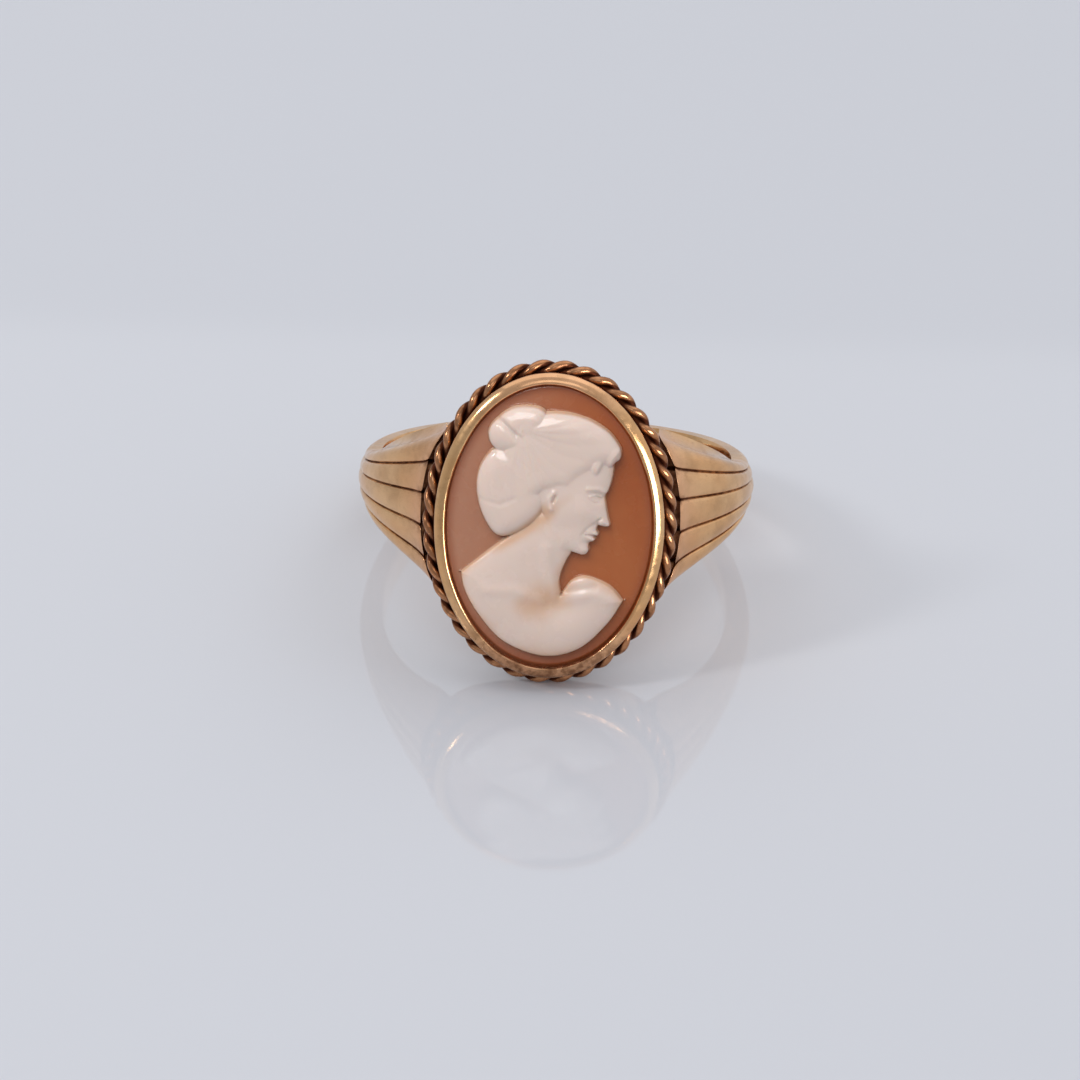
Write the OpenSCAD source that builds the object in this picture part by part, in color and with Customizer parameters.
// Oval cameo ring with fluted shoulders and a twisted rope border.
// It lies on its side on the plane z = 0, with its head towards -Y.
// Every piece is drawn in the ring's own frame, where the finger axis is Z
// and the head faces -Y, and at_rest() then lays it down.

/* [Finger] */
// Diameter of the finger hole
finger_d = 16.7; // [15.5:0.1:18.5]

/* [Shank] */
// Thickness of the shank at the back
back_t = 1.15; // [0.9:0.05:1.6]
// Width of the shank at the back
back_w = 2.1; // [1.6:0.1:3]
// Thickness of the shank at the sides
side_t = 1.15; // [0.9:0.05:1.7]
// Width of the shank at the sides
side_w = 2.5; // [2.2:0.1:4]
// How much thinner the band is along its edges than along its middle
edge_drop = 0.42; // [0.2:0.02:0.6]

/* [Shoulders] */
// Thickness of the shoulders where they reach the head
shoulder_t = 2.1; // [2:0.05:2.4]
// Height of the shoulders where they reach the head
shoulder_w = 8.2; // [7:0.1:9.5]
// How far the middle of the shoulders lies above the middle of the head
shoulder_up = 0.4; // [0:0.05:0.6]
// Flutes on each shoulder
flutes = 5; // [3:1:6]
// Depth of the grooves between the flutes
groove_d = 0.15; // [0.06:0.01:0.2]
// Width of the grooves between the flutes
groove_w = 0.2; // [0.1:0.01:0.26]
// Rise of each flute between its grooves
flute_rise = 0.05; // [0.02:0.01:0.1]
// Gap between the rope border and the ends of the flutes
shoulder_gap = 0.14; // [0.08:0.01:0.25]
// How far the ends of the flutes are rounded down
end_drop = 0.22; // [0.1:0.02:0.3]
// Step from the ends of the flutes down to the web under the rope
web_drop = 0.5; // [0.3:0.05:0.7]

/* [Cameo] */
// Width of the cameo
stone_w = 10; // [9:0.1:11]
// Height of the cameo
stone_h = 13.9; // [12:0.1:15.5]
// Thickness of the cameo at its edge
stone_edge = 1; // [0.7:0.05:1.3]
// Rise of the ground from its edge to its middle
ground_rise = 0.3; // [0.1:0.05:0.5]
// Height of the bust above the ground
bust_rise = 0.75; // [0.4:0.05:1]

/* [Bezel] */
// Height of the front of the rim above the finger hole
head_rise = 1.75; // [1.65:0.05:2.1]
// Thickness of the bezel wall
wall_t = 0.26; // [0.2:0.02:0.35]
// Width of the rim, seen from the front
rim_w = 0.53; // [0.45:0.01:0.7]
// Distance from the front of the rim down to the cameo's edge
rim_drop = 0.4; // [0.3:0.05:0.5]
// Width of the seat under the cameo
seat_w = 0.5; // [0.3:0.05:0.8]
// Clearance round and under the cameo
stone_gap = 0.04; // [0.02:0.01:0.06]

/* [Rope border] */
// Diameter of one strand
strand_d = 0.42; // [0.34:0.01:0.48]
// Distance from the front of the rim back to the middle of the rope
rope_back = 1.2; // [1.1:0.05:1.4]
// How far the rope is sunk into the bezel wall
rope_sink = 0.06; // [0.04:0.01:0.1]
// How much more it is sunk at the top and bottom of the oval
rope_tuck = 0.12; // [0:0.01:0.15]
// Full twists round the bezel
twists = 19; // [14:1:24]

/* [Hidden] */

finger_r = finger_d / 2;
// The skins reach this far inside the finger hole before it is cut
inner_r = finger_r * 0.92;

// Half sizes of the ovals, across and along
stone = [stone_w / 2, stone_h / 2];
cup_in = [for (s = stone) s + stone_gap];
cup_out = [for (s = cup_in) s + wall_t];
strand_r = strand_d / 2;
// The strands overlap a little where they touch
strand_off = 0.85 * strand_r;
rope_r = strand_off + strand_r;
rope = [cup_out[0] + rope_r - rope_sink, cup_out[1] + rope_r - rope_sink - rope_tuck];
end_oval = [for (s = rope) s + rope_r + shoulder_gap];
wall_oval = [for (s = cup_in) s + wall_t * 0.5];

// Depths measured from the finger axis towards the front
rim_front = finger_r + head_rise;
rope_at = rim_front - rope_back;
edge_top = rim_front - rim_drop;
seat_at = edge_top - stone_edge - stone_gap;

// Angles round the band: 0 at the head, 90 at the sides, 180 at the back
shoulder_angle = 34;
fade_angle = 112;

function mix(a, b, t) = a + (b - a) * t;
function clamp(t) = min(1, max(0, t));
function ease(t) = let (c = clamp(t)) c * c * (3 - 2 * c);

// Share of the way from the side of the ring to the head, and to the back
function near_head(a) = clamp((90 - a) / (90 - shoulder_angle));
function near_back(a) = ease((a - 90) / 75);

// The shoulders widen and rise almost evenly, after a soft start at the sides,
// and give back a share of the rise where they reach the head
soft_start = 0.15;
rise_loss = 0.45;
function flare(n) = n * n * (1 + soft_start) / (n + soft_start);
function raised(a) = shoulder_up * flare(near_head(a)) * (1 - rise_loss * pow(near_head(a), 4));
function half_width(a) =
    a < 90 ? mix(side_w, shoulder_w, flare(near_head(a))) / 2
           : mix(side_w, back_w, near_back(a)) / 2;
function outer_r(a) =
    finger_r + (a < 90 ? mix(side_t, shoulder_t, pow(near_head(a), 3))
                       : mix(side_t, back_t, near_back(a)));
function groove_share(a) = ease((fade_angle - a) / 25);

// Where a groove lies across the band, from -1 to 1: evenly spread at the
// head, crowded towards the edges at the sides
function groove_at(k, a) =
    let (f = -1 + 2 * k / flutes)
    f * (1 + mix(0.5, 0, near_head(a)) * (1 - abs(f)));

// One flute across the band, as [place, share of the groove, share of the rise]
function flute_marks(k, a) =
    let (
        low = groove_at(k, a),
        high = groove_at(k + 1, a),
        half = groove_w / 2 / half_width(a)
    )
    [
        if (k > 0) [low, 1, 0],
        if (k > 0) [min(low + half, mix(low, high, 0.3)), 0, 0.1],
        [mix(low, high, 0.36), 0, 0.9],
        [mix(low, high, 0.64), 0, 0.9],
        if (k < flutes - 1) [max(high - half, mix(low, high, 0.7)), 0, 0.1]
    ];

// The band's outside at an angle, as [distance from the axis, height]
function band_outside(a) =
    let (
        h = half_width(a),
        up = raised(a),
        r = outer_r(a),
        g = groove_share(a),
        edge_round = edge_drop * 0.35,
        marks = [for (k = [0:flutes - 1]) each flute_marks(k, a)]
    )
    concat(
        [[r - edge_drop - edge_round, up - h]],
        [for (m = marks)
            [r - edge_drop * m[0] * m[0] - g * (groove_d * m[1] - flute_rise * m[2]), up + m[0] * h * 0.995]],
        [[r - edge_drop - edge_round, up + h]]
    );

// Half width of an oval at a height
function oval_x(s, z) = s[0] * sqrt(1 - z * z / (s[1] * s[1]));
function on_circle(r, x, z) = [x, -sqrt(r * r - x * x), z];
function at_angle(r, a, z) = [r * sin(a), -r * cos(a), z];

// A station between the end of the shoulder, t = 0, and the side, t = 1.
// The end follows the oval of the head, in steps lowered by drop.
end_angle = asin(end_oval[0] / outer_r(shoulder_angle));
function shoulder_station(t, step, drop) =
    let (
        a = mix(end_angle, 90, t),
        bend = 1 - pow(1 - t, 2),
        out = band_outside(a),
        inner = function (z)
            at_angle(inner_r, mix(asin((oval_x(end_oval, z) + step) / inner_r), 90, t), z)
    )
    concat(
        [inner(out[0][1])],
        [for (p = out) on_circle(p[0] - drop, mix(oval_x(end_oval, p[1]) + step, p[0] * sin(a), bend), p[1])],
        [inner(out[len(out) - 1][1])]
    );

// A station of the web under the rope, a step below the ends of the flutes:
// a flat one at x, inside the cup where it is cut off, or the one at the flutes
function web_y(p) = on_circle(p[0] - end_drop, oval_x(end_oval, p[1]), p[1])[1] + web_drop;
function web_station(x) =
    let (
        out = band_outside(end_angle),
        low = out[0][1],
        high = out[len(out) - 1][1],
        at = function (z) is_undef(x) ? oval_x(end_oval, z) : x
    )
    concat(
        [on_circle(inner_r, at(low), low)],
        [for (p = out) [at(p[1]), web_y(p), p[1]]],
        [on_circle(inner_r, at(high), high)]
    );

function back_station(a) =
    let (out = band_outside(a), high = out[len(out) - 1][1])
    concat([at_angle(inner_r, a, -high)], [for (p = out) at_angle(p[0], a, p[1])], [at_angle(inner_r, a, high)]);

right_half = concat(
    [web_station(stone[0] * 0.6), web_station(undef)],
    [shoulder_station(0, 0.01, end_drop), shoulder_station(0, 0.08, end_drop * 0.25)],
    [for (i = [0:13]) shoulder_station(0.025 + 0.975 * i / 14, 0, 0)],
    [for (a = [90:4:110]) back_station(a)],
    [for (a = [118:10:178]) back_station(a)]
);
left_half = [for (i = [len(right_half) - 1:-1:0]) [for (p = right_half[i]) [-p[0], p[1], p[2]]]];
band_stations = concat(right_half, left_half);

// Faces of a skin through stations of equal count, joined in a loop or capped
function skin_faces(stations, count, loop) =
    concat(
        [for (i = [0:stations - (loop ? 1 : 2)], j = [0:count - 1])
            let (
                i2 = (i + 1) % stations,
                j2 = (j + 1) % count,
                a = i * count + j,
                b = i * count + j2,
                c = i2 * count + j2,
                d = i2 * count + j
            )
            each [[a, b, c], [a, c, d]]],
        loop ? [] : [
            [for (j = [count - 1:-1:0]) j],
            [for (j = [0:count - 1]) (stations - 1) * count + j]
        ]
    );

module skin(stations, loop) {
    count = len(stations[0]);
    polyhedron([for (s = stations) each s], skin_faces(len(stations), count, loop));
}

// Point on an oval with half sizes s, moved outwards by d, at depth w
function on_oval(s, d, w, t) = [(s[0] + d) * cos(t), -w, (s[1] + d) * sin(t)];

// The bezel's profile in two runs, as [distance outside the cup's inner oval, depth]:
// from the finger side up the inside and over the rim, and down the outside
lip = rim_w - wall_t;
cup_foot = finger_r * 0.7;
cup_inside = [
    [-seat_w, cup_foot],
    [-seat_w, seat_at],
    [0, seat_at],
    [0, edge_top],
    [-lip * 0.45, edge_top + rim_drop * 0.3],
    [-lip * 0.45, rim_front - rim_drop * 0.3],
    [wall_t * 0.1, rim_front],
    [wall_t * 0.9, rim_front],
    [wall_t + lip * 0.55, rim_front - rim_drop * 0.4],
    [wall_t + lip * 0.55, rim_front - rim_drop * 1.0],
    [wall_t, rim_front - rim_drop * 1.5]
];

// Length along the rope's oval, summed over its short steps
rope_steps = twists * 8;
function rope_mid(i) = on_oval(rope, 0, rope_at, i * 360 / rope_steps);
rope_run = [for (i = 0, s = 0; i <= rope_steps; s = s + norm(rope_mid(i + 1) - rope_mid(i)), i = i + 1) s];

// Two round strands side by side, as a distance from the middle at angle q
function two_strands(q) =
    let (s = strand_off * sin(q))
    strand_off * abs(cos(q)) + sqrt(strand_r * strand_r - s * s);

// How far the strands have turned; the lowest point of the oval lies midway between two crests
function rope_turn(i) = 90 + 360 * twists * (rope_run[i] / rope_run[rope_steps] - 0.75);

// The outside of the rope in one section, from its front round to its back
rope_reach = 128;
function rope_outline(i) =
    let (
        t = i * 360 / rope_steps,
        slope = [rope[1] * cos(t), rope[0] * sin(t)] / norm([rope[1] * cos(t), rope[0] * sin(t)]),
        out = [slope[0], 0, slope[1]],
        front = [0, -1, 0]
    )
    [for (q = [rope_reach:-32:-rope_reach])
        rope_mid(i) + two_strands(q - rope_turn(i)) * (cos(q) * out + sin(q) * front)];

function head_station(i) =
    let (t = i * 360 / rope_steps)
    concat(
        [for (p = cup_inside) on_oval(cup_in, p[0], p[1], t)],
        [on_oval(cup_out, 0, rope_at + rope_r * 0.85, t)],
        rope_outline(i),
        [on_oval(cup_out, 0, rope_at - rope_r * 0.85, t), on_oval(cup_out, 0, cup_foot, t)]
    );
head_stations = [for (i = [rope_steps - 1:-1:0]) head_station(i)];

// The ring lies on the rope's oval in front and on the shank's edge behind
rest_run = rope_at + finger_r + back_t - edge_drop;
rest_rise = rope[1] - back_w / 2;
tilt = atan2(rest_rise, rest_run) + asin(rope_r / norm([rest_run, rest_rise]));
function laid(p) = [p[0], p[1] * cos(tilt) + p[2] * sin(tilt), p[2] * cos(tilt) - p[1] * sin(tilt)];
laid_points = [for (s = concat(band_stations, head_stations), p = s) if (norm([p[0], p[1]]) > finger_r) laid(p)];
lift = -min([for (p = laid_points) p[2]]);
front_y = min([for (p = laid_points) p[1]]);
rear_y = max([for (p = laid_points) p[1]]);

module at_rest() {
    translate([0, -(front_y + rear_y) / 2, lift]) rotate([-tilt, 0, 0]) children();
}

module setting() {
    color("#c79a66") at_rest() difference() {
        union() {
            difference() {
                skin(band_stations, false);
                oval_block(wall_oval, 0, rim_front);
            }
            skin(head_stations, true);
        }
        cylinder(r = finger_r, h = stone_h * 2, center = true, $fn = 180);
    }
}

// An oval block from a depth outwards
module oval_block(s, from, height) {
    rotate([90, 0, 0])
        translate([0, 0, from])
            linear_extrude(height)
                polygon([for (i = [0:71]) [s[0] * cos(i * 5), s[1] * sin(i * 5)]]);
}

// The bust, facing right, as soft lumps in shares of the cameo's half width:
// [across, up, half width, half height, turn, height as a share of bust_rise]
bust_lumps = [
    [0.13, 0.60, 0.42, 0.52, -14, 0.86],   // skull
    [0.06, 0.80, 0.54, 0.36, -10, 1.00],   // hair over the crown
    [-0.40, 0.48, 0.27, 0.42, 12, 0.92],   // rolled hair at the back
    [-0.30, 0.98, 0.24, 0.22, 0, 0.95],    // bun
    [0.50, 0.82, 0.20, 0.17, -25, 0.90],   // curls over the brow
    [0.36, 0.34, 0.24, 0.44, -20, 0.70],   // cheek
    [0.59, 0.28, 0.10, 0.09, 35, 0.55],    // nose
    [0.50, 0.08, 0.09, 0.08, 0, 0.50],     // lips
    [0.42, -0.11, 0.14, 0.11, 20, 0.55],   // chin
    [-0.02, -0.12, 0.30, 0.50, -18, 0.62], // neck
    [-0.06, -0.84, 0.72, 0.42, 0, 0.95],   // chest
    [-0.46, -0.66, 0.40, 0.26, 30, 0.80],  // far shoulder
    [0.38, -0.74, 0.36, 0.22, -18, 0.80]   // near shoulder
];

function lump(m, x, z) =
    let (
        u = x / stone[0] - m[0],
        v = z / stone[0] - m[1],
        a = (u * cos(m[4]) + v * sin(m[4])) / m[2],
        b = (v * cos(m[4]) - u * sin(m[4])) / m[3]
    )
    m[5] * ease(1.1 * (1 - a * a - b * b));

function cameo_depth(share, t) =
    let (x = stone[0] * share * cos(t), z = stone[1] * share * sin(t))
    edge_top + ground_rise * (1 - share * share)
        + bust_rise * max([for (m = bust_lumps) lump(m, x, z)]);

// Rings from the middle of the front out to the edge, and the flat back
ring_sides = 84;
cameo_rings = 29;
function cameo_ring(share, depth) =
    [for (j = [0:ring_sides - 1])
        let (t = j * 360 / ring_sides)
        on_oval([stone[0] * share, stone[1] * share], 0, is_undef(depth) ? cameo_depth(share, t) : depth, t)];
cameo_stations = concat(
    [for (i = [1:cameo_rings]) cameo_ring(0.04 + 0.9 * i / cameo_rings, undef)],
    [cameo_ring(0.98, edge_top - 0.02), cameo_ring(1, edge_top - 0.12), cameo_ring(1, seat_at + stone_gap)]
);

module cameo() {
    color("#c98a5e") at_rest() skin(cameo_stations, false);
}

setting();
cameo();
